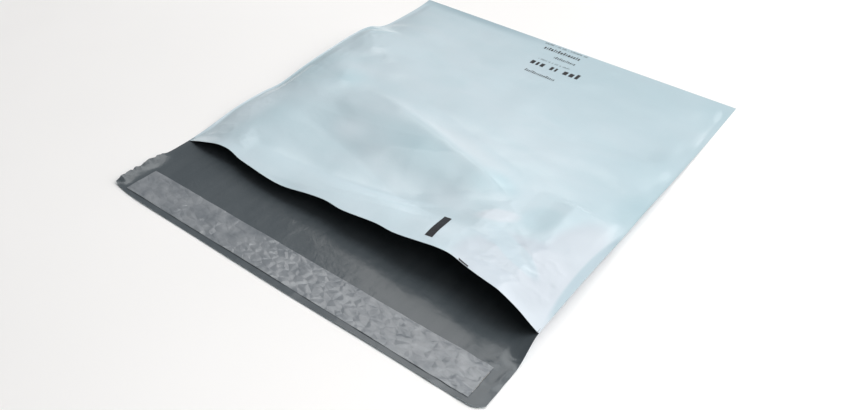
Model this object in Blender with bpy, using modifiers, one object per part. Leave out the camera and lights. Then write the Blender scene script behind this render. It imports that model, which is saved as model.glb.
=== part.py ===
"""Poly mailer of one folded and side-welded film, lying on its back with its mouth agape.

Metres, +Z up. The origin is on the surface it lies on, at the middle of its plan.
+Y runs from the mouth to the closed end, and the lip reaches out past the mouth towards -Y.
"""
import math

import bmesh
import bpy

# Flat sizes of the bag
BAG_WIDTH = 0.395
BODY_LENGTH = 0.392
LIP_LENGTH = 0.080
SIDE_WELD = 0.006
END_WELD = 0.005
FILM_WALL = 0.0004

# Share of a wall by which the two panels sink into each other at a weld
WELD_OVERLAP = 0.5

# How the mouth lies: its right end is pulled further towards the lip than its left
MOUTH_SKEW = 0.0075
CORNER_PULL = 0.005

# How far in from a seam the back panel is drawn up, and how far the front panel's shoulder runs
SEAM_REACH = 0.050
SHOULDER = 0.060

# Where the right seam comes down again on the lip
RIGHT_DROP = 0.030

# The bulge of the front panel, and the slack left where it ends
BULGE = 0.0135
SLACK = 0.0022
SLACK_FADE = 0.12
LEAST_GAP = 0.0010

# The bulge is thinner to the right, from one place across the half width to another
THIN_SHARE = 0.35
THIN_FROM = 0.15
THIN_TO = 0.75

# Where along the body the bulge starts to end and over how much of it, in the middle,
# and how much more of each towards the right
FADE_START = 0.45
FADE_START_TILT = -0.19
FADE_RUN = 0.42
FADE_RUN_TILT = 0.13

# How far the gape of the mouth reaches into the panel, and the places across the half width
# between which it goes from the one reach to the other
MOUTH_DEPTH = 0.060
RIGHT_DEPTH = 0.140
DEPTH_FROM = 0.20
DEPTH_TO = 0.60

# The slanting crest across the panel, with the hollow between it and the mouth
CREST_FROM_MOUTH = 0.145
CREST_SLOPE = -0.263
CREST_RISE = 0.0040
CREST_FAR_RUN = 0.030
CREST_NEAR_RUN = 0.080
CREST_LEFT_END = -0.125
CREST_LEFT_FADE = 0.085
CREST_RIGHT_END = 0.085
CREST_RIGHT_FADE = 0.045
HOLLOW_DEPTH = 0.0050

# Height of each side seam above the surface, by its place along the body from the mouth
LEFT_SEAM = (
    (0.00, 0.0000),
    (0.05, 0.0012),
    (0.16, 0.0062),
    (0.25, 0.0064),
    (0.32, 0.0045),
    (0.43, 0.0092),
    (0.53, 0.0117),
    (0.64, 0.0131),
    (0.70, 0.0105),
    (0.75, 0.0030),
    (0.80, 0.0000),
    (1.00, 0.0000),
)
RIGHT_SEAM = (
    (0.00, 0.0160),
    (0.11, 0.0157),
    (0.20, 0.0132),
    (0.35, 0.0092),
    (0.44, 0.0086),
    (0.55, 0.0056),
    (0.70, 0.0020),
    (0.83, 0.0000),
    (1.00, 0.0000),
)

# The mouth's edge, by its place across the half width: its height above the surface,
# and how far it is pulled back towards the closed end
MOUTH_EDGE = (
    (-1.00, 0.0000),
    (-0.90, 0.0070),
    (-0.78, 0.0138),
    (-0.60, 0.0146),
    (-0.35, 0.0155),
    (-0.10, 0.0202),
    (0.15, 0.0250),
    (0.40, 0.0310),
    (0.58, 0.0338),
    (0.75, 0.0310),
    (0.88, 0.0250),
    (1.00, 0.0157),
)
MOUTH_PULL = (
    (-1.00, 0.0000),
    (-0.88, 0.0000),
    (-0.72, 0.0028),
    (-0.60, -0.0010),
    (-0.36, -0.0025),
    (-0.10, 0.0030),
    (0.02, 0.0015),
    (0.18, 0.0050),
    (0.30, 0.0035),
    (0.54, 0.0083),
    (0.70, 0.0033),
    (0.87, 0.0018),
    (1.00, 0.0000),
)

# The closing strip on the lip
GLUE_WIDTH = 0.022
GLUE_WALL = 0.0003
LINER_WIDTH = 0.032
LINER_WALL = 0.0003
LINER_EDGE_GAP = 0.005
LINER_END_GAP = 0.008
LAYER_GAP = 0.0003

# Mesh steps
COLUMNS = 28
BODY_ROWS = 26
LIP_ROWS = 8
OUTLINE_INSET = 0.0003
EDGE_ROUND = 0.0001
HAIR = 0.00005

HALF_WIDTH = BAG_WIDTH / 2
HALF_LENGTH = (BODY_LENGTH + LIP_LENGTH) / 2
MOUTH_Y = LIP_LENGTH - HALF_LENGTH
WELD_STACK = (2 - WELD_OVERLAP) * FILM_WALL


def ease(t):
    """Rises smoothly from 0 to 1 as t does."""
    t = min(max(t, 0.0), 1.0)
    return t * t * (3 - 2 * t)


def between(x, start, end):
    """Rises smoothly from 0 to 1 as x goes from start to end."""
    return ease((x - start) / (end - start))


def curve_through(points, x):
    """A smooth curve through the points, read at x."""
    x = min(max(x, points[0][0]), points[-1][0])
    last = len(points) - 2
    k = 0
    while k < last and x > points[k + 1][0]:
        k += 1
    (x0, y0), (x1, y1) = points[k], points[k + 1]
    before = points[max(k - 1, 0)]
    after = points[min(k + 2, last + 1)]
    step = x1 - x0
    slope0 = (y1 - before[1]) / (x1 - before[0])
    slope1 = (after[1] - y0) / (after[0] - x0)
    t = (x - x0) / step
    rise = (1 + 2 * t) * (1 - t) ** 2 * y0 + t * t * (3 - 2 * t) * y1
    return rise + step * (t * (1 - t) ** 2 * slope0 - t * t * (1 - t) * slope1)


def mouth_y(u):
    """Where the mouth's edge runs, by the place across the half width."""
    return MOUTH_Y - MOUTH_SKEW * u + curve_through(MOUTH_PULL, u)


def left_lift(v):
    """Height of the left seam: nothing on the lip."""
    return max(curve_through(LEFT_SEAM, v), 0.0)


def right_lift(v):
    """Height of the right seam, which drops to the surface just outside the mouth."""
    on_lip = ease(1 + min(v, 0) * LIP_LENGTH / RIGHT_DROP)
    return max(curve_through(RIGHT_SEAM, v), 0.0) * on_lip


def back_height(u, v):
    """Underside of the back panel: on the surface, but drawn up towards the side seams."""
    from_left = max(1 - HALF_WIDTH * (1 + u) / SEAM_REACH, 0.0)
    from_right = max(1 - HALF_WIDTH * (1 - u) / SEAM_REACH, 0.0)
    return left_lift(v) * from_left ** 2 + right_lift(v) * from_right ** 2


def shoulder(u):
    """How far the front panel has risen between a side weld and its full height."""
    inward = HALF_WIDTH * (1 - abs(u)) - SIDE_WELD
    t = min(max(inward / SHOULDER, 0.0), 1.0)
    return 1 - (1 - t) ** 2


def plateau(u, v):
    """Height of the bulge, which ends sooner and more gently to the right."""
    start = FADE_START + FADE_START_TILT * u
    run = FADE_RUN + FADE_RUN_TILT * u
    level = BULGE * (1 - THIN_SHARE * between(u, THIN_FROM, THIN_TO))
    slack = SLACK * min((1 - v) / SLACK_FADE, 1.0)
    return level * (1 - ease((v - start) / run)) + slack


def crest(u, v):
    """The slanting crest: short and steep on its far side, long and deep towards the mouth."""
    x = HALF_WIDTH * u
    lean = 1 / math.hypot(1, CREST_SLOPE)
    along = x / lean
    across = (v * BODY_LENGTH - CREST_FROM_MOUTH - CREST_SLOPE * x) * lean
    if across > 0:
        rise = CREST_RISE * (1 - ease(across / CREST_FAR_RUN))
    else:
        rise = CREST_RISE - (CREST_RISE + HOLLOW_DEPTH) * ease(-across / CREST_NEAR_RUN)
    left_end = ease((along - CREST_LEFT_END) / CREST_LEFT_FADE)
    right_end = ease((CREST_RIGHT_END - along) / CREST_RIGHT_FADE)
    return rise * left_end * right_end


def front_height(u, v):
    """Top of the front panel."""
    base = back_height(u, v) + WELD_STACK
    from_seam = HALF_WIDTH * (1 - abs(u))
    from_end = BODY_LENGTH * (1 - v)
    if from_seam < SIDE_WELD + HAIR or from_end < END_WELD + HAIR:
        return base
    seam = left_lift(v) if u < 0 else right_lift(v)
    rise = shoulder(u)
    inner = seam * (1 - rise) + (plateau(u, v) + crest(u, v)) * rise
    depth = MOUTH_DEPTH + (RIGHT_DEPTH - MOUTH_DEPTH) * between(u, DEPTH_FROM, DEPTH_TO)
    t = min(v * BODY_LENGTH / depth, 1.0)
    near_mouth = (1 - t) ** 2 * (1 + t)
    top = near_mouth * curve_through(MOUTH_EDGE, u) + (1 - near_mouth) * inner
    return max(top, base + LEAST_GAP)


def plan(u, v):
    """Place in plan: v is 0 at the mouth, 1 at the closed end and -1 at the lip's edge."""
    start = mouth_y(u)
    if v >= 0:
        return start + v * (HALF_LENGTH - start)
    edge = -HALF_LENGTH
    if abs(u) == 1:
        edge += CORNER_PULL
    return start + v * (start - edge)


def stations(low, high, count, low_margin, high_margin):
    """Places from low to high, with one of their own at each margin that isn't zero."""
    first = low + low_margin
    last = high - high_margin
    places = [first + (last - first) * k / count for k in range(count + 1)]
    if low_margin:
        places.insert(0, low)
    if high_margin:
        places.append(high)
    return places


def fresh_scene():
    """Removes what the scene held before."""
    for item in list(bpy.data.objects):
        bpy.data.objects.remove(item)


def collection(name):
    group = bpy.data.collections.new(name)
    bpy.context.scene.collection.children.link(group)
    return group


def material(name, colour, roughness):
    mat = bpy.data.materials.new(name)
    mat.use_nodes = True
    shader = mat.node_tree.nodes["Principled BSDF"]
    shader.inputs["Base Color"].default_value = (*colour, 1)
    shader.inputs["Roughness"].default_value = roughness
    shader.inputs["Metallic"].default_value = 0
    mat.diffuse_color = (*colour, 1)
    return mat


def film_sheet(name, columns, rows, place, group, side):
    """One panel of film, thickened up (side 1) or down (side -1) from its own surface."""
    bm = bmesh.new()
    bmesh.ops.create_grid(bm, x_segments=len(columns) - 1, y_segments=len(rows) - 1, size=1)
    for vert in bm.verts:
        column = round((vert.co.x + 1) / 2 * (len(columns) - 1))
        row = round((vert.co.y + 1) / 2 * (len(rows) - 1))
        vert.co = place(columns[column], rows[row])
    bmesh.ops.triangulate(bm, faces=bm.faces, quad_method="FIXED")
    mesh = bpy.data.meshes.new(name)
    bm.to_mesh(mesh)
    bm.free()
    panel = bpy.data.objects.new(name, mesh)
    group.objects.link(panel)
    thick = panel.modifiers.new("film wall", "SOLIDIFY")
    thick.thickness = FILM_WALL
    thick.offset = side
    return panel


def back_place(u, v):
    """Where a point of the back panel's underside lies."""
    return HALF_WIDTH * u, plan(u, v), back_height(u, v)


def front_place(u, v):
    """As the back panel, but a hair inside its outline, so that no two sides coincide."""
    x = min(max(HALF_WIDTH * u, OUTLINE_INSET - HALF_WIDTH), HALF_WIDTH - OUTLINE_INSET)
    y = min(plan(u, v), HALF_LENGTH - OUTLINE_INSET)
    return x, y, front_height(u, v)


def make_film(parts, cutters, film):
    """The back panel with its lip, and the front panel welded on at the sides and closed end."""
    weld_share = SIDE_WELD / HALF_WIDTH
    end_share = END_WELD / BODY_LENGTH
    columns = stations(-1, 1, COLUMNS, weld_share, weld_share)
    body_rows = stations(0, 1, BODY_ROWS, 0, end_share)
    lip_rows = stations(-1, 0, LIP_ROWS, 0, 0)
    back = film_sheet("film_pouch", columns, lip_rows[:-1] + body_rows, back_place, parts, 1)
    front = film_sheet("front_panel", columns, body_rows, front_place, cutters, -1)
    front.hide_render = True
    front.display_type = "WIRE"
    weld = back.modifiers.new("front panel", "BOOLEAN")
    weld.operation = "UNION"
    weld.object = front
    back.data.materials.append(film)


def strip(name, width, wall, centre_y, base_z, parts, mat):
    """A flat strip across the lip."""
    length = BAG_WIDTH - 2 * SIDE_WELD - 2 * LINER_END_GAP
    bpy.ops.mesh.primitive_cube_add(size=1, location=(0, centre_y, base_z + wall / 2))
    piece = bpy.context.object
    piece.name = name
    for vert in piece.data.vertices:
        vert.co = (vert.co.x * length, vert.co.y * width, vert.co.z * wall)
    edge = piece.modifiers.new("edge", "BEVEL")
    edge.width = EDGE_ROUND
    edge.segments = 1
    piece.data.materials.append(mat)
    for group in list(piece.users_collection):
        group.objects.unlink(piece)
    parts.objects.link(piece)


def make_closing_strip(parts, glue, liner):
    """The glue across the lip, and the wider liner over it."""
    centre_y = LINER_EDGE_GAP + LINER_WIDTH / 2 - HALF_LENGTH
    glue_z = FILM_WALL + LAYER_GAP
    liner_z = glue_z + GLUE_WALL + LAYER_GAP
    strip("adhesive_strip", GLUE_WIDTH, GLUE_WALL, centre_y, glue_z, parts, glue)
    strip("release_liner", LINER_WIDTH, LINER_WALL, centre_y, liner_z, parts, liner)


def main():
    fresh_scene()
    parts = collection("poly_mailer")
    cutters = collection("cutters")
    film = material("film", (0.60, 0.72, 0.77), 0.35)
    glue = material("glue", (0.75, 0.74, 0.68), 0.25)
    liner = material("liner", (0.42, 0.46, 0.50), 0.20)
    make_film(parts, cutters, film)
    make_closing_strip(parts, glue, liner)


main()
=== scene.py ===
"""Looks for the poly mailer: one folded sheet of film with its relief and crinkles, the glue and its
release liner on the lip, the printed bars, and a plain pale studio. Metres, in the frame of the CAD.
"""
import math

import bmesh
import bpy
import numpy as np
from mathutils import Matrix, Vector


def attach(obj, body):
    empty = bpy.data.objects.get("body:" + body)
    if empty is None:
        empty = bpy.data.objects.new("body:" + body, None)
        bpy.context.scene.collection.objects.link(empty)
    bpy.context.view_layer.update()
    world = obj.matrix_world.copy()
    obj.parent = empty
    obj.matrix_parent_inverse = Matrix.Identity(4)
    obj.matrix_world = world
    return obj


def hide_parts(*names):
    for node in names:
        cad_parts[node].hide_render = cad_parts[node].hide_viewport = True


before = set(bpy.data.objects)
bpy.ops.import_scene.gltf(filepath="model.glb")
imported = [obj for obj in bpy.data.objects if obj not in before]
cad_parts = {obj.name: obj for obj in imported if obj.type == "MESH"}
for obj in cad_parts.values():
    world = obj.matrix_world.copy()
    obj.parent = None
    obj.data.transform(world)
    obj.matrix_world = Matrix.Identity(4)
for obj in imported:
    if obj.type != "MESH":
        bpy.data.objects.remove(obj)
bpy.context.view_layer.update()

# Sizes of the real thing, in metres
MM = 0.001
BAG_WIDTH = 0.395
BODY_LENGTH = 0.392
LIP_LENGTH = 0.080
HALF_WIDTH = BAG_WIDTH / 2
HALF_LENGTH = (BODY_LENGTH + LIP_LENGTH) / 2
MOUTH_Y = LIP_LENGTH - HALF_LENGTH
MOUTH_SKEW = 0.0075
FILM = 0.00012
LAYER_GAP = 0.00003
WELD = 0.0025
SIDE_WELD = 0.006
GLUE_WIDTH = 0.022
GLUE_WALL = 0.00008
LINER_WIDTH = 0.032
LINER_WALL = 0.00008
LINER_EDGE_GAP = 0.005
LINER_END_GAP = 0.008
LINER_BUCKLE = 0.0004
LINER_END_BUCKLE = 0.0006

# The bulge: lengths and heights in metres, places and shares across and along the body as numbers
SHOULDER = 0.060
SEAM_REACH = 0.050
RIGHT_DROP = 0.034
BULGE = 0.0135
SLACK = 0.0022
SLACK_FADE = 0.12
THIN_SHARE = 0.35
THIN_FROM = 0.15
THIN_TO = 0.75
FADE_START = 0.45
FADE_START_TILT = -0.19
FADE_RUN = 0.42
FADE_RUN_TILT = 0.13
MOUTH_DEPTH = 0.060
RIGHT_DEPTH = 0.140
DEPTH_FROM = 0.20
DEPTH_TO = 0.60
STRAIGHT_FROM = 0.66
STRAIGHT_TO = 0.78

# The folds fade out beside the welds and towards the closed end's fold
RELIEF_SIDE = 0.012
RELIEF_END_FROM = 0.002
RELIEF_END_TO = 0.020

# The noise table, and how far and how finely its crease lines are bent out of shape
NOISE_TILE = 64
CREASE_BEND = 0.35
CREASE_BEND_SIZE = 1.7
CREASE_BEND_FROM = (5.2, 1.3)

# Height of each side seam by its place along the body, and how far the left one is drawn in
LEFT_SEAM = (
    (0.00, 0.0), (0.05, 1.2), (0.16, 6.2), (0.25, 6.4), (0.32, 4.5), (0.43, 9.2),
    (0.53, 11.7), (0.64, 13.1), (0.70, 10.5), (0.75, 3.0), (0.80, 0.3), (1.00, 0.0),
)
RIGHT_SEAM = (
    (0.00, 15.0), (0.11, 14.6), (0.20, 13.2), (0.35, 9.2), (0.44, 8.6), (0.55, 5.6),
    (0.70, 2.0), (0.83, 0.0), (1.00, 0.0),
)
LEFT_DRAW = (
    (0.00, 0.0), (0.60, 0.0), (0.72, 0.8), (0.82, 1.6), (0.92, 2.2), (0.97, 1.2), (1.00, 0.0),
)

# The mouth's edge by its place across the half width: its height, and how far it is pulled back
MOUTH_EDGE = (
    (-1.00, 0.0), (-0.90, 7.0), (-0.78, 13.8), (-0.60, 14.6), (-0.35, 15.5), (-0.10, 20.2),
    (0.15, 25.0), (0.40, 31.0), (0.58, 33.8), (0.75, 31.0), (0.88, 25.0), (1.00, 15.0),
)
MOUTH_PULL = (
    (-1.00, 0.0), (-0.88, 0.0), (-0.72, 2.8), (-0.60, -1.0), (-0.36, -2.5), (-0.10, 3.0),
    (0.02, 1.5), (0.18, 5.0), (0.30, 3.5), (0.54, 8.3), (0.70, 3.3), (0.87, 1.8), (1.00, 0.0),
)

# The lip's edge: how far it lies inside the straight line, by the place across the half width
LIP_PULL = (
    (-1.00, 4.2), (-0.96, 2.4), (-0.90, 0.9), (-0.80, 0.1), (-0.40, -0.4), (0.10, -0.8),
    (0.50, 0.2), (0.80, 0.2), (0.93, 0.4), (0.97, 1.6), (1.00, 6.0),
)


def ease(t):
    """Rises smoothly from 0 to 1 as t does."""
    t = np.clip(t, 0.0, 1.0)
    return t * t * (3 - 2 * t)


def between(x, start, end):
    """Rises smoothly from 0 to 1 as x goes from start to end."""
    return ease((x - start) / (end - start))


def curve_through(points, x):
    """A smooth curve through the points, read at x."""
    px = np.array([p[0] for p in points])
    py = np.array([p[1] for p in points])
    x = np.clip(x, px[0], px[-1])
    k = np.clip(np.searchsorted(px, x, side="left") - 1, 0, len(px) - 2)
    before = np.maximum(k - 1, 0)
    after = np.minimum(k + 2, len(px) - 1)
    x0, x1, y0, y1 = px[k], px[k + 1], py[k], py[k + 1]
    slope0 = (y1 - py[before]) / (x1 - px[before])
    slope1 = (py[after] - y0) / (px[after] - x0)
    t = (x - x0) / (x1 - x0)
    rise = (1 + 2 * t) * (1 - t) ** 2 * y0 + t * t * (3 - 2 * t) * y1
    return rise + (x1 - x0) * (t * (1 - t) ** 2 * slope0 - t * t * (1 - t) * slope1)


def noise(x, y, seed):
    """Smooth noise from -1 to 1 that swells about once to each unit of x and y."""
    table = np.random.default_rng(seed).uniform(-1, 1, (NOISE_TILE, NOISE_TILE))
    column, row = np.floor(x).astype(int), np.floor(y).astype(int)
    a, b = ease(x - column), ease(y - row)
    corner = [table[(row + j) % NOISE_TILE, (column + i) % NOISE_TILE] for j in (0, 1) for i in (0, 1)]
    near = corner[0] + (corner[1] - corner[0]) * a
    far = corner[2] + (corner[3] - corner[2]) * a
    return near + (far - near) * b


def creases(x, y, seed):
    """Film that has been crumpled and let go: crisp curved ridges between smooth facets, 0 to 1."""
    from_x, from_y = CREASE_BEND_FROM
    bent = noise(x * CREASE_BEND_SIZE + from_x, y * CREASE_BEND_SIZE + from_y, seed + 1)
    bend = CREASE_BEND * bent
    ridge = 1 - np.abs(noise(x + bend, y - bend, seed))
    return ridge * ridge


def mouth_y(u):
    """Where the mouth's edge runs."""
    return MOUTH_Y - MOUTH_SKEW * u + MM * curve_through(MOUTH_PULL, u)


def left_lift(v):
    """Height of the left seam."""
    return MM * np.maximum(curve_through(LEFT_SEAM, v), 0.0)


def right_lift(v):
    """Height of the right seam, which drops to the surface just outside the mouth."""
    on_lip = ease(1 + np.minimum(v, 0) * LIP_LENGTH / RIGHT_DROP)
    return MM * np.maximum(curve_through(RIGHT_SEAM, v), 0.0) * on_lip


def plan_y(u, v):
    """Place along the length: v is 0 at the mouth, 1 at the closed end and -1 at the lip's edge."""
    start = mouth_y(u)
    edge = -HALF_LENGTH + MM * curve_through(LIP_PULL, u)
    return start + np.where(v >= 0, v * (HALF_LENGTH - start), v * (start - edge))


def back_place(u, v):
    """Underside of the back panel: flat, with the left side drawn up and the right side a steep wall."""
    q = HALF_WIDTH * u
    from_left = np.maximum(1 - (HALF_WIDTH + q) / SEAM_REACH, 0.0)
    from_right = np.maximum(1 - (HALF_WIDTH - q) / SEAM_REACH, 0.0)
    left = left_lift(v)
    right = right_lift(v)
    z = left * from_left ** 2
    x = q + MM * curve_through(LEFT_DRAW, v) * from_left ** 2
    z = z + right * from_right ** 3
    return x, z


def shoulder(u):
    """How far the front panel has risen between a side weld and its full height."""
    inward = HALF_WIDTH * (1 - np.abs(u)) - WELD
    t = np.clip(inward / SHOULDER, 0.0, 1.0)
    return 1 - (1 - t) ** 2


def plateau(u, v):
    """Height of the bulge, which ends sooner and more gently to the right."""
    start = FADE_START + FADE_START_TILT * u
    run = FADE_RUN + FADE_RUN_TILT * u
    level = BULGE * (1 - THIN_SHARE * between(u, THIN_FROM, THIN_TO))
    slack = SLACK * np.minimum((1 - v) / SLACK_FADE, 1.0)
    return level * (1 - ease((v - start) / run)) + slack


def front_base(u, v):
    """Top of the front panel without its folds."""
    seam = np.where(u < 0, left_lift(v), right_lift(v))
    rise = shoulder(u)
    inner = seam * (1 - rise) + plateau(u, v) * rise
    depth = MOUTH_DEPTH + (RIGHT_DEPTH - MOUTH_DEPTH) * between(u, DEPTH_FROM, DEPTH_TO)
    t = np.clip(v * BODY_LENGTH / depth, 0.0, 1.0)
    rounded = ((1 - t) ** 2 * (1 + t) + 1 - ease(t)) / 2
    straight = between(u, STRAIGHT_FROM, STRAIGHT_TO)
    near_mouth = rounded + (1 - t - rounded) * straight
    return near_mouth * MM * curve_through(MOUTH_EDGE, u) + (1 - near_mouth) * inner


def along_line(points, x, y):
    """Signed distance to a polyline, positive on its left, the way gone from end to end, and its length.

    The way is measured along the straight line between the ends, so that it changes smoothly."""
    best = np.full(x.shape, np.inf)
    signed = np.zeros(x.shape)
    for (ax, ay), (bx, by) in zip(points[:-1], points[1:]):
        length = math.hypot(bx - ax, by - ay)
        dx, dy = (bx - ax) / length, (by - ay) / length
        t = np.clip((x - ax) * dx + (y - ay) * dy, 0.0, length)
        ex, ey = x - ax - t * dx, y - ay - t * dy
        gap = np.hypot(ex, ey)
        side = np.where(dx * (y - ay) - dy * (x - ax) >= 0, 1.0, -1.0)
        closer = gap < best
        best = np.where(closer, gap, best)
        signed = np.where(closer, gap * side, signed)
    (ax, ay), (bx, by) = points[0], points[-1]
    whole = math.hypot(bx - ax, by - ay)
    way = ((x - ax) * (bx - ax) + (y - ay) * (by - ay)) / whole
    return signed, way, whole


def ramp(way, run):
    """Rises from 0 to 1 over a run: smoothly, or in a straight slope if the run is negative."""
    return np.clip(-way / run, 0.0, 1.0) if run < 0 else ease(way / run)


def fold(x, y, points, rise, reaches, powers, fades, softness):
    """A crest (or, with a negative rise, a groove) along a line: all in mm.

    reaches are how far it runs out to the left and to the right of the way the points go. Power 1 is
    a flat facet with a crisp foot, 2 fades out. fades are the runs at both ends, and softness is how
    far the line itself is rounded at its start and at its end."""
    signed, way, length = along_line(points, x, y)
    round_off = softness[0] + (softness[1] - softness[0]) * np.clip(way / length, 0.0, 1.0)
    away = np.hypot(signed, round_off) - round_off
    on_left = np.clip(1 - away / reaches[0], 0.0, 1.0) ** powers[0]
    on_right = np.clip(1 - away / reaches[1], 0.0, 1.0) ** powers[1]
    profile = np.where(signed >= 0, on_left, on_right)
    return rise * profile * ramp(way, fades[0]) * ramp(length - way, fades[1])


# Crests and grooves of the front panel, as fold() takes them. All in mm.
FOLDS = (
    # the main crest: short and bright beyond, long and dark towards the mouth
    (((-125, 9), (-80, -1), (-40, -11), (0, -22), (40, -33), (80, -43), (116, -51)),
     10.0, (35, 66), (1.6, 1.1), (80, 60), (6, 0.5)),
    # the valley between the hollow below the crest and the film that stands up at the mouth
    (((-160, -122), (-100, -118), (-50, -112), (0, -103), (40, -91), (78, -76)),
     -5.9, (66, 28), (1.1, 1.1), (90, 52), (8, 2)),
    # the deep end of the hollow, which comes to a point below the crest
    (((-80, -120), (-30, -108), (16, -92), (50, -75), (86, -52)),
     -4.4, (42, 20), (1.0, 1.2), (90, 44), (6, 2)),
    # the second, fainter slant to the left of the hollow
    (((-118, -10), (-100, -26), (-80, -36), (-58, -54)),
     0.6, (26, 12), (1.5, 1.3), (22, 30), (3, 3)),
    # the groove near the mouth at the left
    (((-153, -106), (-135, -115), (-116, -130)),
     -0.8, (22, 18), (1.2, 1.6), (14, 22), (1, 1)),
    # the crest that closes the dark facet at the left seam, at its right and near side
    (((-162, 58), (-148, 28), (-138, 4), (-152, -8), (-215, -48)),
     3.6, (90, 60), (1.4, 1.0), (34, 40), (1, 1)),
    # the crest that runs in from the left seam
    (((-194, 113), (-160, 82), (-146, 60)),
     2.0, (34, 30), (1.5, 1.1), (-8, 24), (2, 2)),
    (((-152, 87), (-118, 64)),
     0.5, (9, 14), (1.5, 1.8), (8, 14), (1, 1)),
    # the ridge beside the bright right flank
    (((149, -14), (151, -40), (155, -78), (158, -110), (158, -170)),
     3.6, (40, 36), (1.0, 1.0), (-9, -1), (0, 0)),
    # the ridge at the left of the bright blob
    (((101, -58), (100, -90), (104, -112)),
     2.8, (40, 24), (1.0, 1.8), (16, -14), (0.5, 0.5)),
    (((103, -48), (105, -57), (120, -68), (124, -60)),
     0.5, (5, 7), (1.0, 1.0), (4, 4), (0, 0)),
    # small crisp folds near the mouth at the right
    (((122, -77), (142, -95), (162, -114), (178, -128)),
     0.7, (6, 8), (1.2, 1.2), (14, 8), (0, 0)),
    (((142, -111), (160, -118), (180, -123)),
     -0.9, (10, 16), (1.0, 1.2), (8, 14), (0, 0)),
    (((127, -142), (137, -139), (146, -137), (150, -129)),
     -0.5, (4, 5), (1.0, 1.0), (4, 3), (0, 0)),
    (((131, -142), (136, -133), (145, -131)),
     0.4, (4, 4), (1.0, 1.0), (3, 3), (0, 0)),
    (((134, -130), (148, -138), (162, -134)),
     -0.5, (5, 7), (1.0, 1.0), (6, 5), (0, 0)),
    (((155, -150), (157, -143), (163, -137)),
     -0.5, (4, 5), (1.0, 1.0), (3, 3), (0, 0)),
    (((118, -123), (134, -117)),
     0.4, (7, 10), (1.0, 1.2), (5, 5), (0, 0)),
    (((158, -115), (165, -111)),
     -0.35, (3, 3), (1.0, 1.0), (2, 2), (0, 0)),
    (((183, -119), (188, -136)),
     -0.6, (4, 4), (1.0, 1.0), (4, 4), (0, 0)),
    # the long soft line across the far half
    (((20, 86), (60, 84), (100, 84), (120, 88), (150, 98), (182, 106)),
     -1.9, (80, 20), (2.0, 1.3), (40, 24), (3, 3)),
    # the roll at the closed end, at the left
    (((-197, 211), (-120, 213), (-50, 216)),
     2.0, (26, 44), (1.6, 2.0), (-1, 80), (4, 4)),
)

# Loose waves all over the film: their size across and along, the seed and the rise. All in mm.
SWELLS = (
    ((70, 26), 11, 0.85),
    ((34, 19), 12, 0.50),
    ((15, 12), 13, 0.13),
)
# Places with fine crumples: left, right, near and far side, their fade, size, seed and rise. All in mm.
CRUMPLES = (
    ((-200, -174, -150, 150), 16, 10, 21, 0.30),
    ((92, 178, -142, -84), 14, 11, 22, 0.42),
    ((-200, -140, -170, -120), 16, 14, 23, 0.50),
)


def relief(x, y):
    """Height that the folds add to the front panel, in metres, at places in metres."""
    x, y = x / MM, y / MM
    z = np.zeros(x.shape)
    for row in FOLDS:
        z += fold(x, y, *row)
    for (across, along), seed, rise in SWELLS:
        z += rise * noise(x / across, y / along, seed)
    for (left, right, low, high), reach, size, seed, rise in CRUMPLES:
        inside = between(x, left - reach, left) * between(x, right + reach, right)
        inside = inside * between(y, low - reach, low) * between(y, high + reach, high)
        z += rise * inside * creases(x / size, y / size, seed)
    return z * MM


def front_place(u, v):
    """Top of the front panel with its folds: the place of its points in space."""
    q = HALF_WIDTH * u
    from_left = np.maximum(1 - (HALF_WIDTH + q) / SEAM_REACH, 0.0)
    from_right = np.maximum(1 - (HALF_WIDTH - q) / SEAM_REACH, 0.0)
    x = q + MM * curve_through(LEFT_DRAW, v) * from_left ** 2
    y = plan_y(u, v)
    free = between(HALF_WIDTH * (1 - np.abs(u)), WELD, WELD + RELIEF_SIDE)
    free = free * between(BODY_LENGTH * (1 - v), RELIEF_END_FROM, RELIEF_END_TO)
    z = front_base(u, v) + relief(q, y) * free
    _, back_z = back_place(u, v)
    return x, y, np.maximum(z, back_z + 2 * FILM + LAYER_GAP)


# Mesh steps: finer beside the seams and the mouth
COLUMN_STEP = 0.00172
COLUMN_STEP_EDGE = 0.0013
EDGE_BAND = 0.018
ROW_STEPS = ((0.060, 0.00135), (0.300, 0.00170), (0.392, 0.00280))
BACK_STEP = 0.0066
LIP_STEP = 0.0020
GLUE_STEP = 0.0026
LINER_STEP = 0.0012

# The extra thickness inside the front panel, and where it sets in behind the mouth
SKIN_EXTRA = 0.0006
SKIN_FROM = 0.004
SKIN_TO = 0.030
SHARP_ANGLE = 70

OUTER, INNER = 0, 1


def stations(bands):
    """Places from 0 through bands of (end, step), an even number of steps in each."""
    places = [0.0]
    for end, step in bands:
        start = places[-1]
        count = 2 * max(1, round((end - start) / step / 2))
        places += [start + (end - start) * k / count for k in range(1, count + 1)]
    return np.array(places)


def new_object(name, mesh):
    made = bpy.data.objects.new(name, mesh)
    bpy.context.scene.collection.objects.link(made)
    return made


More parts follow.
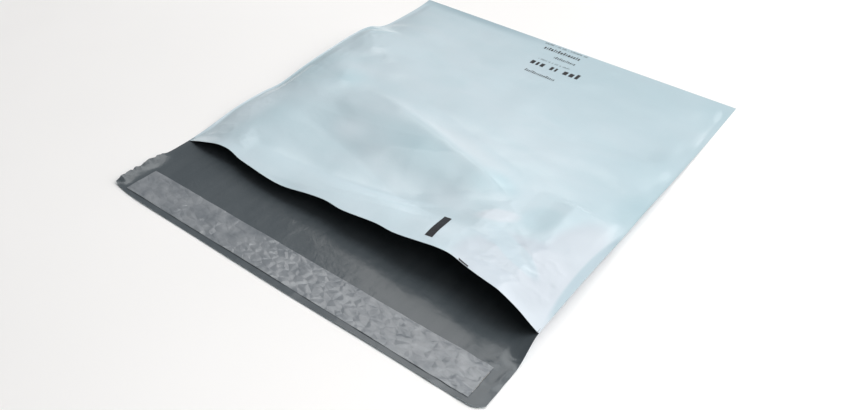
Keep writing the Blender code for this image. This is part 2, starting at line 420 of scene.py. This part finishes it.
class Skins:
    """Gathers grids of vertices and the faces between them into one mesh."""

    def __init__(self):
        self.points = []
        self.faces = []
        self.looks = []
        self.count = 0

    def grid(self, place, us, vs, look):
        """A grid of quads, one row of vertices for each of vs. Gives the indices of its vertices."""
        index = np.arange(len(vs) * len(us)).reshape(len(vs), len(us)) + self.count
        u, v = np.meshgrid(us, vs)
        x, y, z = place(u, v)
        self.points.append(np.stack([x.ravel(), y.ravel(), z.ravel()], 1))
        self.count += u.size
        a, b, c, d = index[:-1, :-1], index[:-1, 1:], index[1:, 1:], index[1:, :-1]
        quads = np.stack([a, b, c, d], -1).reshape(-1, 4)
        self.faces += quads.tolist()
        self.looks += [look] * len(quads)
        return index

    def strip(self, one, other, look):
        """Faces between two rows of vertices, of which one may have twice the steps of the other."""
        fine, coarse = (one, other) if len(one) >= len(other) else (other, one)
        start = len(self.faces)
        if len(fine) == len(coarse):
            for k in range(len(fine) - 1):
                self.faces.append([int(fine[k]), int(fine[k + 1]), int(coarse[k + 1]), int(coarse[k])])
        else:
            for k in range(len(coarse) - 1):
                a, b = int(coarse[k]), int(coarse[k + 1])
                p, m, q = (int(fine[2 * k + i]) for i in range(3))
                self.faces += [[a, p, m], [a, m, b], [b, m, q]]
        self.looks += [look] * (len(self.faces) - start)

    def finish(self, name):
        """The gathered mesh as an object."""
        mesh = bpy.data.meshes.new(name)
        mesh.from_pydata(np.concatenate(self.points).tolist(), [], self.faces)
        mesh.polygons.foreach_set("material_index", self.looks)
        mesh.polygons.foreach_set("use_smooth", [True] * len(self.faces))
        mesh.update()
        return new_object(name, mesh)


# Relief of the lip, in mm: the distances out from the centre between which each part sets in, sizes,
# seeds and rises. LIP_START is a share of the lip, and CURL_END is where the curl dies out, along y.
LIP_FADE = (158, 188)
LIP_START = 0.3
WAVE_SIZE, WAVE_SEED, WAVE_RISE = (37, 60), 31, 0.7
FINE_SIZE, FINE_SEED, FINE_RISE = 17, 32, 0.15
CORNER_ACROSS, CORNER_ALONG, CORNER_RISE = (120, 170), (175, 205), 0.9
TIP_ACROSS, TIP_ALONG, TIP_RISE = (178, 194), (165, 190), 0.8
CURL_FROM, CURL_RUN, CURL_RISE = 184, 13, 3.4
CURL_ALONG, CURL_END = (170, 190), (-239, -221)
JAG_SIZE, JAG_SEED, JAG_LEAST, JAG_SPREAD = (9, 5), 33, 0.65, 0.7


def lip_waves(x, y):
    """Height of the soft waves and crinkles in the lip, at places in metres."""
    x, y = x / MM, y / MM
    out = between(-y, *LIP_FADE)
    waves = 0.5 + 0.5 * noise(x / WAVE_SIZE[0], y / WAVE_SIZE[1], WAVE_SEED)
    fine = creases(x / FINE_SIZE, y / FINE_SIZE, FINE_SEED)
    corner = between(x, *CORNER_ACROSS) * between(-y, *CORNER_ALONG)
    tip = between(-x, *TIP_ACROSS) * between(-y, *TIP_ALONG)
    curl = np.clip((-x - CURL_FROM) / CURL_RUN, 0.0, 1.0) ** 2
    curl = curl * between(-y, *CURL_ALONG) * between(y, *CURL_END)
    jag = JAG_LEAST + JAG_SPREAD * np.abs(noise(x / JAG_SIZE[0], y / JAG_SIZE[1], JAG_SEED))
    crinkles = (FINE_RISE * out + CORNER_RISE * corner + TIP_RISE * tip) * fine
    return MM * (WAVE_RISE * waves * out + crinkles + CURL_RISE * curl * jag)


def inner_back(u, v):
    """Upper face of the back panel and lip."""
    x, z = back_place(u, v)
    y = plan_y(u, v)
    lip = lip_waves(x, y) * between(-v, 0.0, LIP_START)
    return x, y, z + FILM + lip


def outer_back(u, v):
    """Underside of the back panel and lip."""
    x, z = back_place(u, v)
    y = plan_y(u, v)
    lip = lip_waves(x, y) * between(-v, 0.0, LIP_START)
    return x, y, z + lip


def inner_front(u, v):
    """Underside of the front panel: a film's thickness at the mouth, thicker further in.

    The extra keeps its coarser mesh from showing through the upper face."""
    x, y, z = front_place(u, v)
    _, back_z = back_place(u, v)
    depth = FILM + SKIN_EXTRA * between(v * BODY_LENGTH, SKIN_FROM, SKIN_TO)
    return x, y, np.maximum(z - depth, back_z + FILM + LAYER_GAP)


def build_film():
    """The folded sheet as one closed shell: outer and inner skins, joined at the rims."""
    middle = HALF_WIDTH - EDGE_BAND
    half = stations(((middle, COLUMN_STEP), (HALF_WIDTH, COLUMN_STEP_EDGE)))
    us = np.concatenate([-half[:0:-1], half]) / HALF_WIDTH
    coarse = us[::2]
    vs = stations(ROW_STEPS) / BODY_LENGTH
    back = stations(((BODY_LENGTH, BACK_STEP),))[::-1] / BODY_LENGTH
    lip = -stations(((LIP_LENGTH, LIP_STEP),)) / LIP_LENGTH
    skins = Skins()
    top = skins.grid(front_place, us, vs, OUTER)
    under = skins.grid(inner_front, coarse, vs[::2], INNER)
    floor = skins.grid(inner_back, coarse, back, INNER)
    lip_fine = skins.grid(inner_back, us, lip[1:], INNER)
    base = skins.grid(outer_back, coarse, back, OUTER)
    lip_under = skins.grid(outer_back, us, lip[1:], OUTER)
    # the rims: mouth, sides, fold, and the lip's edge
    skins.strip(top[0], under[0], INNER)
    skins.strip(top[-1], base[0], OUTER)
    skins.strip(under[-1], floor[0], INNER)
    skins.strip(lip_fine[0], floor[-1], INNER)
    skins.strip(lip_under[0], base[-1], OUTER)
    skins.strip(lip_fine[-1], lip_under[-1], OUTER)
    for side in (0, -1):
        skins.strip(top[:, side], under[:, side], OUTER)
        skins.strip(floor[:, side], base[:, side], OUTER)
        lip_side = np.concatenate([[floor[-1, side]], lip_fine[:, side]])
        lip_foot = np.concatenate([[base[-1, side]], lip_under[:, side]])
        skins.strip(lip_side, lip_foot, OUTER)
    return skins.finish("film")


def print_bar(skins, corners):
    """One printed bar between four corners on the front panel, in mm, as a patch just over the film."""
    corners = np.array(corners) * MM
    reaches = np.linalg.norm(corners[1] - corners[3]), np.linalg.norm(corners[0] - corners[1])
    steps = [max(1, math.ceil(reach / PRINT_STEP)) for reach in reaches]

    def place(s, t):
        one = corners[0] + (corners[1] - corners[0]) * s[..., None]
        other = corners[3] + (corners[2] - corners[3]) * s[..., None]
        x, y = np.moveaxis(one + (other - one) * t[..., None], -1, 0)
        u = x / HALF_WIDTH
        start = mouth_y(u)
        x, y, z = front_place(u, (y - start) / (HALF_LENGTH - start))
        return x, y, z + PRINT_OFF

    ss = np.linspace(0, 1, steps[0] + 1)
    ts = np.linspace(0, 1, steps[1] + 1)
    skins.grid(place, ss, ts, OUTER)


def layer_on_lip(name, width, step, underside, thickness):
    """A thin strip across the lip as a closed shell that follows it, from its underside up."""
    length = BAG_WIDTH - 2 * (SIDE_WELD + LINER_END_GAP)
    middle = LINER_EDGE_GAP + LINER_WIDTH / 2 - HALF_LENGTH
    xs = np.linspace(-length / 2, length / 2, 2 * round(length / step / 2) + 1)
    ys = np.linspace(middle - width / 2, middle + width / 2, 2 * round(width / step / 2) + 1)

    def level(x, y, rise):
        u = x / HALF_WIDTH
        start = mouth_y(u)
        v = (y - start) / (start + HALF_LENGTH - MM * curve_through(LIP_PULL, u))
        lip_x, lip_z = back_place(u, v)
        return lip_x, y, lip_z + FILM + lip_waves(lip_x, y) + rise

    def top(x, y):
        return level(x, y, underside(x, y) + thickness)

    def bottom(x, y):
        return level(x, y, underside(x, y))

    skins = Skins()
    upper = skins.grid(top, xs, ys, OUTER)
    lower = skins.grid(bottom, xs, ys, OUTER)
    for edge in (0, -1):
        skins.strip(upper[edge], lower[edge], OUTER)
        skins.strip(upper[:, edge], lower[:, edge], OUTER)
    return skins.finish(name)


# Crinkles of the release liner: their sizes in metres, seeds, and where the small ones set in
BUCKLE_SIZE, BUCKLE_SEED = (0.019, 0.011), 41
END_BUCKLE_SIZE, END_BUCKLE_SEED = (0.011, 0.008), 42
END_BUCKLE_FROM, END_BUCKLE_RUN = 0.120, 0.060


def glue_underside(x, y):
    """The glue lies on the lip."""
    return np.full(x.shape, LAYER_GAP)


def liner_underside(x, y):
    """The release liner lies over the glue, and stands off it in crinkles."""
    over_glue = 3 * LAYER_GAP + GLUE_WALL
    buckles = creases(x / BUCKLE_SIZE[0], y / BUCKLE_SIZE[1], BUCKLE_SEED) * LINER_BUCKLE
    small = creases(x / END_BUCKLE_SIZE[0], y / END_BUCKLE_SIZE[1], END_BUCKLE_SEED)
    end = ease((x - END_BUCKLE_FROM) / END_BUCKLE_RUN) * small * LINER_END_BUCKLE
    return over_glue + buckles + end


def closed_outward(obj):
    """Turns every face of a closed mesh outward."""
    bm = bmesh.new()
    bm.from_mesh(obj.data)
    bmesh.ops.recalc_face_normals(bm, faces=bm.faces)
    bm.to_mesh(obj.data)
    bm.free()
    obj.data.set_sharp_from_angle(angle=math.radians(SHARP_ANGLE))


def add_light(name, azimuth, elevation, distance, width, height, radiance, colour):
    """A soft box that faces the mailer, at an azimuth to the right of +Y and an elevation."""
    data = bpy.data.lights.new(name, "AREA")
    data.shape = "RECTANGLE"
    data.size, data.size_y = width, height
    data.energy = radiance * math.pi * width * height
    data.color = colour
    lamp = bpy.data.objects.new(name, data)
    bpy.context.scene.collection.objects.link(lamp)
    a, e = math.radians(azimuth), math.radians(elevation)
    away = Vector((math.sin(a) * math.cos(e), math.cos(a) * math.cos(e), math.sin(e)))
    lamp.location = away * distance
    lamp.rotation_mode = "QUATERNION"
    lamp.rotation_quaternion = away.to_track_quat("Z", "Y")
    return lamp


# The camera, at the photograph's place
CAMERA_AT = (0.3548, -0.5203, 0.4538)
CAMERA_AZIMUTH = 35.939
CAMERA_ELEVATION = 40.141
CAMERA_ROLL = 1.446
FOCAL_PIXELS = 804.96
FRAME_PIXELS = 854
SENSOR = 36.0


def make_camera():
    """The camera where the photograph was taken from, fitted to the mailer's corners."""
    a, e, c = (math.radians(t) for t in (CAMERA_AZIMUTH, CAMERA_ELEVATION, CAMERA_ROLL))
    ahead = Vector((-math.sin(a) * math.cos(e), math.cos(a) * math.cos(e), -math.sin(e)))
    level = Vector((math.cos(a), math.sin(a), 0))
    above = level.cross(ahead)
    right = math.cos(c) * level + math.sin(c) * above
    up = -math.sin(c) * level + math.cos(c) * above
    data = bpy.data.cameras.new("camera")
    data.sensor_width = SENSOR
    data.lens = FOCAL_PIXELS / FRAME_PIXELS * SENSOR
    camera = bpy.data.objects.new("camera", data)
    bpy.context.scene.collection.objects.link(camera)
    rows = Matrix((right, up, -ahead)).transposed()
    camera.matrix_world = Matrix.Translation(CAMERA_AT) @ rows.to_4x4()
    bpy.context.scene.camera = camera


# Print on the front panel, as plain bars between four corners. All in mm.
PRINT_STEP = 0.0010
PRINT_OFF = 0.00012
EYE_MARK = ((73.5, -107.0), (81.0, -107.5), (87.0, -143.0), (79.8, -143.4))
TICK = ((118.0, -151.2), (119.2, -153.2), (129.2, -155.6), (128.8, -154.2))
# Rows of word-like bars: left end, right end, middle, height, weight, seed
PRINT_ROWS = (
    (-27, 27, 232.5, 3.4, 0.16, 51),
    (-22, 22, 222.0, 6.2, 0.26, 52),
    (-2, 23, 208.5, 5.4, 0.17, 53),
    (-14, 25, 194.5, 3.0, 0.14, 54),
    (-17, 42, 184.0, 10.0, 0.36, 55),
    (-12, 23, 162.0, 5.4, 0.17, 56),
)
# How uneven the bars' widths are, the gaps after a bar and a word in row heights, how often a word
# ends, how often a bar is tall, and the height of the others as a share of the row's
BAR_SPREAD = (0.6, 1.4)
BAR_GAP = 0.24
WORD_GAP = 0.80
WORD_END = 0.16
TALL_BAR = 0.3
LOW_BAR = 0.74


def print_row(skins, left, right, middle, height, weight, seed):
    """A row of small plain bars in groups, such as greeked words."""
    chance = np.random.default_rng(seed)
    x = left
    while x < right:
        width = height * weight * chance.uniform(*BAR_SPREAD)
        low = middle - height / 2
        high = low + height * (1.0 if chance.uniform() < TALL_BAR else LOW_BAR)
        print_bar(skins, ((x, low), (x + width, low), (x + width, high), (x, high)))
        x += width + height * (WORD_GAP if chance.uniform() < WORD_END else BAR_GAP)


def build_print():
    """All printed bars as one piece."""
    skins = Skins()
    print_bar(skins, EYE_MARK)
    print_bar(skins, TICK)
    for row in PRINT_ROWS:
        print_row(skins, *row)
    return skins.finish("print_marks")


class Look:
    """A node material whose detail comes from noise in the object's own space."""

    def __init__(self, name):
        self.material = bpy.data.materials.new(name)
        self.material.use_nodes = True
        self.tree = self.material.node_tree
        self.shader = self.tree.nodes["Principled BSDF"]
        self.place = self.tree.nodes.new("ShaderNodeTexCoord").outputs["Object"]

    def join(self, output, socket):
        self.tree.links.new(output, socket)

    def stretched(self, scale):
        """The place, scaled by its own amount along each axis."""
        mapping = self.tree.nodes.new("ShaderNodeMapping")
        mapping.inputs["Scale"].default_value = scale
        self.join(self.place, mapping.inputs["Vector"])
        return mapping.outputs["Vector"]

    def noise(self, size, detail=2.0, rough=0.5, place=None, warp=0.0):
        """Noise of features of this size in metres."""
        made = self.tree.nodes.new("ShaderNodeTexNoise")
        made.inputs["Scale"].default_value = 1 / size
        made.inputs["Detail"].default_value = detail
        made.inputs["Roughness"].default_value = rough
        made.inputs["Distortion"].default_value = warp
        self.join(place or self.place, made.inputs["Vector"])
        return made.outputs["Fac"]

    def cells(self, size, place=None):
        """Distance to the edges of cells of this size in metres: crisp creases between facets."""
        made = self.tree.nodes.new("ShaderNodeTexVoronoi")
        made.feature = "DISTANCE_TO_EDGE"
        made.inputs["Scale"].default_value = 1 / size
        self.join(place or self.place, made.inputs["Vector"])
        return made.outputs["Distance"]

    def patch(self, centre, radii, turn, crisp, share):
        """An oval patch of space: share inside, nothing outside its radii, and a soft or crisp rim."""
        mapping = self.tree.nodes.new("ShaderNodeMapping")
        mapping.vector_type = "TEXTURE"
        mapping.inputs["Location"].default_value = centre
        mapping.inputs["Rotation"].default_value = (0, 0, math.radians(turn))
        mapping.inputs["Scale"].default_value = radii
        self.join(self.place, mapping.inputs["Vector"])
        distance = self.tree.nodes.new("ShaderNodeVectorMath")
        distance.operation = "LENGTH"
        self.join(mapping.outputs["Vector"], distance.inputs[0])
        made = self.tree.nodes.new("ShaderNodeMapRange")
        made.interpolation_type = "SMOOTHSTEP"
        made.inputs["From Min"].default_value = 1.0
        made.inputs["From Max"].default_value = crisp
        made.inputs["To Min"].default_value = 0.0
        made.inputs["To Max"].default_value = share
        self.join(distance.outputs["Value"], made.inputs["Value"])
        return made.outputs["Result"]

    def spread(self, fac, low, high, start=0.3, end=0.7):
        """Maps a 0 to 1 pattern to a range."""
        made = self.tree.nodes.new("ShaderNodeMapRange")
        made.inputs["From Min"].default_value = start
        made.inputs["From Max"].default_value = end
        made.inputs["To Min"].default_value = low
        made.inputs["To Max"].default_value = high
        self.join(fac, made.inputs["Value"])
        return made.outputs["Result"]

    def mix(self, fac, one, other):
        """Goes from one colour to the other."""
        made = self.tree.nodes.new("ShaderNodeMix")
        made.data_type = "RGBA"
        colours = [k for k in made.inputs if k.type == "RGBA"]
        for socket, colour in zip(colours, (one, other)):
            if isinstance(colour, tuple):
                socket.default_value = (*colour, 1)
            else:
                self.join(colour, socket)
        self.join(fac, made.inputs["Factor"])
        return next(k for k in made.outputs if k.type == "RGBA")

    def colour(self, output):
        self.join(output, self.shader.inputs["Base Color"])

    def roughness(self, output):
        self.join(output, self.shader.inputs["Roughness"])

    def bumps(self, *layers):
        """Stacks bump layers: each is a pattern and its height in metres."""
        last = None
        for pattern, height in layers:
            bump = self.tree.nodes.new("ShaderNodeBump")
            bump.inputs["Distance"].default_value = height
            bump.inputs["Strength"].default_value = 1.0
            self.join(pattern, bump.inputs["Height"])
            if last:
                self.join(last, bump.inputs["Normal"])
            last = bump.outputs["Normal"]
        self.join(last, self.shader.inputs["Normal"])


FILM_PALE = (0.574, 0.672, 0.734)
FILM_BLUE = (0.520, 0.654, 0.714)
FILM_LIGHT = (0.570, 0.678, 0.736)
# painted shade: the deeper colour laid where the film lies in shade
FILM_PAINTED_SHADE = (0.436, 0.592, 0.656)
# a lilac cast that is also lighter: partly painted highlight along the crest
FILM_LILAC_AND_PAINTED_HIGHLIGHT = (0.600, 0.690, 0.745)
# painted highlights: lighter colours laid where the film catches the light
FILM_WHITE_PAINTED_HIGHLIGHT = (0.640, 0.700, 0.760)
FILM_PAINTED_HIGHLIGHT = (0.630, 0.738, 0.802)
# painted shade: greyer and darker colours laid in creases near the mouth, along the closed end and on
# the wall beside the right seam
FILM_GREY_PAINTED_SHADE = (0.475, 0.538, 0.600)
FILM_HAZY_PAINTED_SHADE = (0.535, 0.600, 0.664)
FILM_CREASE_PAINTED_SHADE = (0.522, 0.634, 0.700)
FILM_DARKEST_PAINTED_SHADE = (0.360, 0.480, 0.545)
# Painted shade and painted highlights on the film, with a lilac cast at the crest: where the colour is
# made deeper or lighter to stand in for shading. Centre and radii in metres, turn in degrees, how far
# out it is even, share and colour
FILM_PAINTED_LIGHT_AND_SHADE = (
    ((-0.110, -0.080, 0), (0.130, 0.090, 1), 0, 0.0, 0.42, FILM_PAINTED_SHADE),
    ((0.008, -0.046, 0), (0.088, 0.040, 1), -12, 0.0, 0.80, FILM_PAINTED_SHADE),
    ((0.070, -0.050, 0), (0.030, 0.017, 1), -18, 0.0, 0.75, FILM_PAINTED_SHADE),
    ((-0.120, 0.250, 0), (0.220, 0.070, 1), 0, 0.0, 0.50, FILM_PAINTED_SHADE),
    # painted shade along the closed end at the left
    ((-0.120, 0.240, 0), (0.160, 0.025, 1), 0, 0.2, 0.85, FILM_DARKEST_PAINTED_SHADE),
    ((0.110, 0.215, 0), (0.240, 0.190, 1), 0, 0.0, 0.55, FILM_PAINTED_SHADE),
    ((0.200, 0.050, 0), (0.110, 0.150, 1), 0, 0.0, 0.65, FILM_PAINTED_SHADE),
    ((0.195, 0.010, 0), (0.030, 0.034, 1), 0, 0.2, 0.70, FILM_PAINTED_SHADE),
    ((-0.190, 0.005, 0), (0.060, 0.060, 1), 0, 0.0, 0.50, FILM_PAINTED_SHADE),
    ((-0.195, 0.122, 0), (0.040, 0.030, 1), 0, 0.0, 0.60, FILM_PAINTED_SHADE),
    ((0.030, -0.014, 0), (0.080, 0.024, 1), -15, 0.0, 0.90, FILM_LILAC_AND_PAINTED_HIGHLIGHT),
    ((-0.180, -0.085, 0), (0.026, 0.075, 1), 0, 0.2, 0.90, FILM_PAINTED_HIGHLIGHT),
    ((-0.074, -0.056, 0), (0.030, 0.022, 1), -15, 0.0, 0.90, FILM_PAINTED_HIGHLIGHT),
    ((-0.133, 0.010, 0), (0.026, 0.030, 1), 0, 0.0, 0.60, FILM_PAINTED_SHADE),
    ((0.086, -0.038, 0), (0.026, 0.018, 1), -20, 0.0, 0.80, FILM_PAINTED_SHADE),
    ((0.058, -0.080, 0), (0.032, 0.022, 1), -20, 0.0, 0.90, FILM_PAINTED_HIGHLIGHT),
    ((0.086, -0.126, 0), (0.026, 0.024, 1), 0, 0.0, 0.90, FILM_PAINTED_HIGHLIGHT),
    ((0.190, 0.210, 0), (0.036, 0.050, 1), 0, 0.0, 0.60, FILM_PAINTED_SHADE),
    ((0.158, -0.137, 0), (0.058, 0.056, 1), 0, 0.75, 0.85, FILM_HAZY_PAINTED_SHADE),
    ((0.178, -0.092, 0), (0.027, 0.080, 1), -2, 0.6, 0.85, FILM_GREY_PAINTED_SHADE),
    ((0.137, -0.058, 0), (0.021, 0.026, 1), 0, 0.5, 0.40, FILM_PAINTED_SHADE),
    ((0.108, -0.080, 0), (0.023, 0.013, 1), 43, 0.5, 0.80, FILM_WHITE_PAINTED_HIGHLIGHT),
    ((0.142, -0.113, 0), (0.038, 0.011, 1), -24, 0.7, 0.80, FILM_CREASE_PAINTED_SHADE),
    ((0.124, -0.106, 0), (0.020, 0.014, 1), 0, 0.6, 0.60, FILM_CREASE_PAINTED_SHADE),
    # painted shade on the wall beside the right seam
    ((0.1975, -0.088, 0), (0.0084, 0.070, 1), 0, 0.7, 0.90, FILM_DARKEST_PAINTED_SHADE),
)
INNER_DARK = (0.078, 0.094, 0.106)
INNER_LIGHT = (0.092, 0.108, 0.120)
LINER_DARK = (0.17, 0.19, 0.21)
LINER_LIGHT = (0.27, 0.29, 0.31)
GLUE_DARK = (0.50, 0.50, 0.46)
GLUE_LIGHT = (0.62, 0.62, 0.57)
INK_DARK = (0.012, 0.012, 0.015)
INK_LIGHT = (0.030, 0.030, 0.034)
FLOOR_DARK = (0.92, 0.92, 0.92)
FLOOR_LIGHT = (0.95, 0.95, 0.95)


def film_outer_look():
    """Pale grey-blue film: satin, faintly streaked the way it was drawn, with fine ripples and painted
    shade and highlights.
    """
    look = Look("film_outer")
    drawn = look.noise(size=1.0, detail=3.0, place=look.stretched((110, 9, 40)))
    patches = look.noise(size=1.0, detail=3.0, rough=0.6, place=look.stretched((17, 34, 20)), warp=0.6)
    base = look.mix(look.spread(patches, low=0, high=1, start=0.2, end=0.8), FILM_PALE, FILM_BLUE)
    tone_with_painted_light = look.mix(look.spread(drawn, low=0.0, high=0.6, start=0.1, end=0.9), base, FILM_LIGHT)
    # painted shade and painted highlights: each patch mixes a deeper or lighter colour into the film to
    # stand in for shading
    for centre, radii, turn, crisp, share, colour in FILM_PAINTED_LIGHT_AND_SHADE:
        tone_with_painted_light = look.mix(look.patch(centre, radii, turn, crisp, share), tone_with_painted_light, colour)
    look.colour(tone_with_painted_light)
    sheen = look.noise(size=0.030, detail=1.0)
    look.roughness(look.spread(sheen, low=0.21, high=0.26, start=0.2, end=0.8))
    ripples = look.noise(size=0.011, detail=2.0, rough=0.5, warp=0.5)
    grain = look.noise(size=0.0016, detail=1.0)
    look.bumps((ripples, 0.00012), (grain, 0.000008))
    return look.material


def film_inner_look():
    """Dark grey inner face of the film, a little glossier."""
    look = Look("film_inner")
    drawn = look.noise(size=1.0, detail=3.0, place=look.stretched((80, 8, 40)))
    look.colour(look.mix(look.spread(drawn, low=0, high=1), INNER_DARK, INNER_LIGHT))
    look.roughness(look.spread(look.noise(size=0.020, detail=2.0), low=0.20, high=0.26))
    ripples = look.noise(size=0.011, detail=3.0, rough=0.55, warp=0.8)
    look.bumps((ripples, 0.0003), (look.noise(size=0.0016), 0.000012))
    return look.material


def liner_look():
    """Silvery release film with crisp little creases."""
    look = Look("liner")
    patches = look.noise(size=0.013, detail=3.0)
    look.colour(look.mix(look.spread(patches, low=0, high=1), LINER_DARK, LINER_LIGHT))
    look.roughness(look.spread(look.noise(size=0.008, detail=2.0), low=0.12, high=0.24))
    creased = look.cells(size=0.010, place=look.stretched((1, 1.6, 1)))
    look.bumps((creased, 0.0009), (look.noise(size=0.003, detail=2.0), 0.00005))
    return look.material


def glue_look():
    """Clear tacky glue, stippled from the roller."""
    look = Look("glue")
    look.colour(look.mix(look.spread(look.noise(size=0.006), low=0, high=1), GLUE_DARK, GLUE_LIGHT))
    look.roughness(look.spread(look.noise(size=0.003), low=0.15, high=0.35))
    look.bumps((look.noise(size=0.0012), 0.00005))
    return look.material


def print_look():
    """Flexographic ink: near black, a little uneven, with ripples like the film's."""
    look = Look("print")
    look.colour(look.mix(look.spread(look.noise(size=0.0012), low=0, high=1), INK_DARK, INK_LIGHT))
    look.roughness(look.spread(look.noise(size=0.002), low=0.34, high=0.48))
    look.bumps((look.noise(size=0.009, detail=3.0, rough=0.55, warp=0.8), 0.00022))
    return look.material


def floor_look():
    """The pale studio surface, with a trace of tooth."""
    look = Look("floor")
    look.colour(look.mix(look.spread(look.noise(size=0.4), low=0, high=1), FLOOR_DARK, FLOOR_LIGHT))
    look.roughness(look.spread(look.noise(size=0.05), low=0.66, high=0.76))
    look.bumps((look.noise(size=0.0015), 0.00003))
    return look.material


def place_piece(piece, looks, stands_for):
    """Gives a piece its materials and its place in the frame."""
    for look in looks:
        piece.data.materials.append(look)
    if stands_for:
        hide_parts(stands_for)
    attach(piece, "root")


film = build_film()
closed_outward(film)
place_piece(film, (film_outer_look(), film_inner_look()), "film_pouch")

glue = layer_on_lip("glue_strip", GLUE_WIDTH, GLUE_STEP, glue_underside, GLUE_WALL)
closed_outward(glue)
place_piece(glue, (glue_look(),), "adhesive_strip")

liner = layer_on_lip("liner_strip", LINER_WIDTH, LINER_STEP, liner_underside, LINER_WALL)
closed_outward(liner)
place_piece(liner, (liner_look(),), "release_liner")

marks = build_print()
place_piece(marks, (print_look(),), None)

# The studio. Lights: name, azimuth and elevation in degrees, distance, width, height, radiance, colour
FLOOR_REACH = 9
FLOOR_DROP = 0.0003
SKY_STRENGTH = 0.10
LIGHTS = (
    ("right_box", 38, 29, 4.0, 5.8, 3.9, 2.50, (1.0, 0.94, 0.91)),
    ("overhead", -18, 74, 4.0, 4.0, 1.8, 3.6, (0.98, 1.0, 1.0)),
    ("centre_panel", -30, 47, 4.0, 1.6, 1.5, 2.3, (1.0, 0.98, 0.96)),
    ("near_fill", 112, 46, 0.70, 0.45, 0.45, 1.7, (1.0, 1.0, 1.0)),
)

floor_corners = [(FLOOR_REACH * i, FLOOR_REACH * j, 0) for i, j in ((-1, -1), (1, -1), (1, 1), (-1, 1))]
floor_mesh = bpy.data.meshes.new("floor")
floor_mesh.from_pydata(floor_corners, [], [(0, 1, 2, 3)])
floor = new_object("floor", floor_mesh)
floor.location.z = -FLOOR_DROP
floor_mesh.materials.append(floor_look())

make_camera()
world = bpy.data.worlds.new("studio")
bpy.context.scene.world = world
world.use_nodes = True
sky = world.node_tree.nodes["Background"]
sky.inputs["Color"].default_value = (1, 1, 1, 1)
sky.inputs["Strength"].default_value = SKY_STRENGTH
for row in LIGHTS:
    add_light(*row)
bpy.context.scene.view_settings.view_transform = "Standard"
